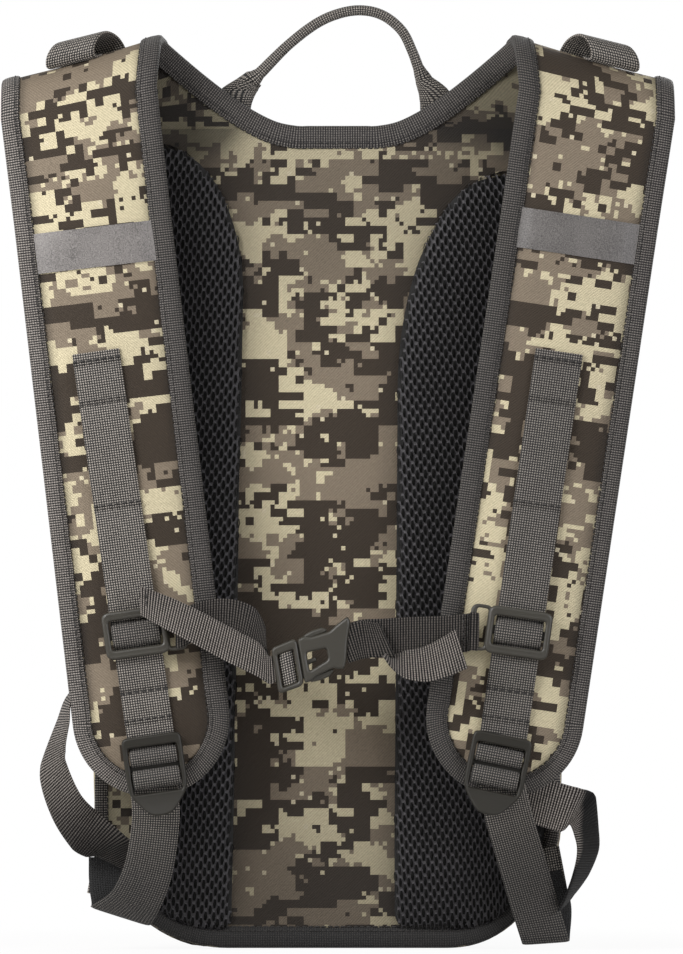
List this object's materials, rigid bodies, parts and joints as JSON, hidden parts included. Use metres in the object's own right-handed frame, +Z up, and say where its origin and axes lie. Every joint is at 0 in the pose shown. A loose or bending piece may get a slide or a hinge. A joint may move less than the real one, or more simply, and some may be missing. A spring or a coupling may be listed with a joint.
{
  "type": "hydration pack",
  "caption": "Flat hydration pack with padded shoulder straps, sliding chest strap with side-release buckle, mesh back padding, zipped pocket and an inner water reservoir.",
  "frame": {"origin": "centre of the base, on the surface the pack stands on", "axes": "+Z up, +X to the right as seen from the wearer's side, which faces -Y"},
  "size_m": [0.3554, 0.1539, 0.4967],
  "materials": {
    "camo_cloth": "printed woven polyester",
    "spacer_mesh": "black spacer mesh",
    "binding_tape": "grosgrain tape",
    "webbing": "woven webbing",
    "reflective_tape": "smooth reflective tape",
    "hardware_plastic": "moulded acetal",
    "zip_tape": "coil zip on woven tape",
    "zip_metal": "painted die casting",
    "reservoir_film": "clear film",
    "cap_plastic": "moulded cap",
    "seal_rubber": "moulded rubber"
  },
  "bodies": {
    "pack": {"back_panel": "camo_cloth", "left_mesh_pad": "spacer_mesh", "right_mesh_pad": "spacer_mesh", "panel_binding": "binding_tape", "neck_binding": "binding_tape", "side_gusset": "camo_cloth", "front_panel": "camo_cloth", "front_binding": "binding_tape", "main_zip_tape": "zip_tape", "front_pocket": "camo_cloth", "pocket_zip_tape": "zip_tape", "reservoir": "reservoir_film", "cap_gasket": "seal_rubber", "hose_outlet": "cap_plastic", "hose_port": "seal_rubber", "handle_anchors": "webbing", "left_anchor_tab": "webbing", "right_anchor_tab": "webbing", "left_lower_web": "webbing", "right_lower_web": "webbing"},
    "harness": {"left_shoulder_pad": "camo_cloth", "right_shoulder_pad": "camo_cloth", "left_strap_binding": "binding_tape", "right_strap_binding": "binding_tape", "left_reflective_tape": "reflective_tape", "right_reflective_tape": "reflective_tape", "left_strap_webbing": "webbing", "right_strap_webbing": "webbing", "left_hose_keeper": "webbing", "right_hose_keeper": "webbing", "left_tail_loop": "webbing", "right_tail_loop": "webbing"},
    "left_lock": {"left_ladder_lock": "hardware_plastic", "left_lock_wrap": "webbing"},
    "right_lock": {"right_ladder_lock": "hardware_plastic", "right_lock_wrap": "webbing"},
    "chest_strap": {"left_sternum_slider": "hardware_plastic", "right_sternum_slider": "hardware_plastic", "chest_web_left": "webbing", "chest_web_right": "webbing", "chest_tail_left": "webbing", "chest_tail_right": "webbing", "buckle_female": "hardware_plastic", "buckle_male": "hardware_plastic"},
    "latch_upper": {"latch_arm_upper": "hardware_plastic"},
    "latch_lower": {"latch_arm_lower": "hardware_plastic"},
    "handle": {"grab_handle": "webbing"},
    "main_slider": {"main_zip_slider": "zip_metal"},
    "main_pull": {"main_zip_pull": "zip_metal"},
    "pocket_slider": {"pocket_zip_slider": "zip_metal"},
    "pocket_pull": {"pocket_zip_pull": "zip_metal"},
    "cap": {"reservoir_cap": "cap_plastic"}
  },
  "joints": [
    {"name": "harness_swing", "type": "hinge", "parent": "pack", "child": "harness", "pos_m": [0, -0.028, 0.4335], "axis": [-1, 0, 0], "range_deg": [0, 8], "deforming": ["left_lower_web", "right_lower_web"]},
    {"name": "chest_height", "type": "slide", "parent": "harness", "child": "chest_strap", "axis": [0, 0, 1], "range_m": [-0.01, 0.011]},
    {"name": "latch_squeeze", "type": "hinge", "parent": "chest_strap", "child": "latch_upper", "pos_m": [-0.02098, -0.0842, 0.16055], "axis": [0, 1, 0], "range_deg": [0, 8], "stiffness_Nm_per_rad": 0.05},
    {"name": "latch_squeeze_lower", "type": "hinge", "parent": "chest_strap", "child": "latch_lower", "pos_m": [-0.01487, -0.0842, 0.14447], "axis": [0, 1, 0], "range_deg": [-8, 0], "stiffness_Nm_per_rad": 0.05},
    {"name": "left_lock_tilt", "type": "hinge", "parent": "harness", "child": "left_lock", "pos_m": [-0.098, -0.0782, 0.112], "axis": [-0.9899, 0, -0.1414], "range_deg": [0, 25], "deforming": ["left_lower_web"]},
    {"name": "right_lock_tilt", "type": "hinge", "parent": "harness", "child": "right_lock", "pos_m": [0.0875, -0.0782, 0.112], "axis": [-0.9896, 0, 0.1438], "range_deg": [0, 25], "deforming": ["right_lower_web"]},
    {"name": "handle_fold", "type": "hinge", "parent": "pack", "child": "handle", "pos_m": [0, -0.0195, 0.4388], "axis": [-1, 0, 0], "range_deg": [0, 75]},
    {"name": "main_zip_run", "type": "slide", "parent": "pack", "child": "main_slider", "axis": [1, 0, 0], "range_m": [0, 0.186]},
    {"name": "main_pull_flip", "type": "hinge", "parent": "main_slider", "child": "main_pull", "pos_m": [-0.094, 0.0411, 0.33], "axis": [0, 0, -1], "range_deg": [0, 165]},
    {"name": "pocket_zip_run", "type": "slide", "parent": "pack", "child": "pocket_slider", "axis": [1, 0, 0], "range_m": [0, 0.128]},
    {"name": "pocket_pull_flip", "type": "hinge", "parent": "pocket_slider", "child": "pocket_pull", "pos_m": [-0.065, 0.0611, 0.22], "axis": [0, 0, -1], "range_deg": [0, 165]},
    {"name": "cap_turn", "type": "hinge", "parent": "pack", "child": "cap", "pos_m": [0, 0.012, 0.2623], "axis": [0, 1, 0], "range_deg": [0, 270]}
  ],
  "couplings": [
    {"joint": "latch_squeeze_lower", "follows": "latch_squeeze", "ratio": -1}
  ]
}
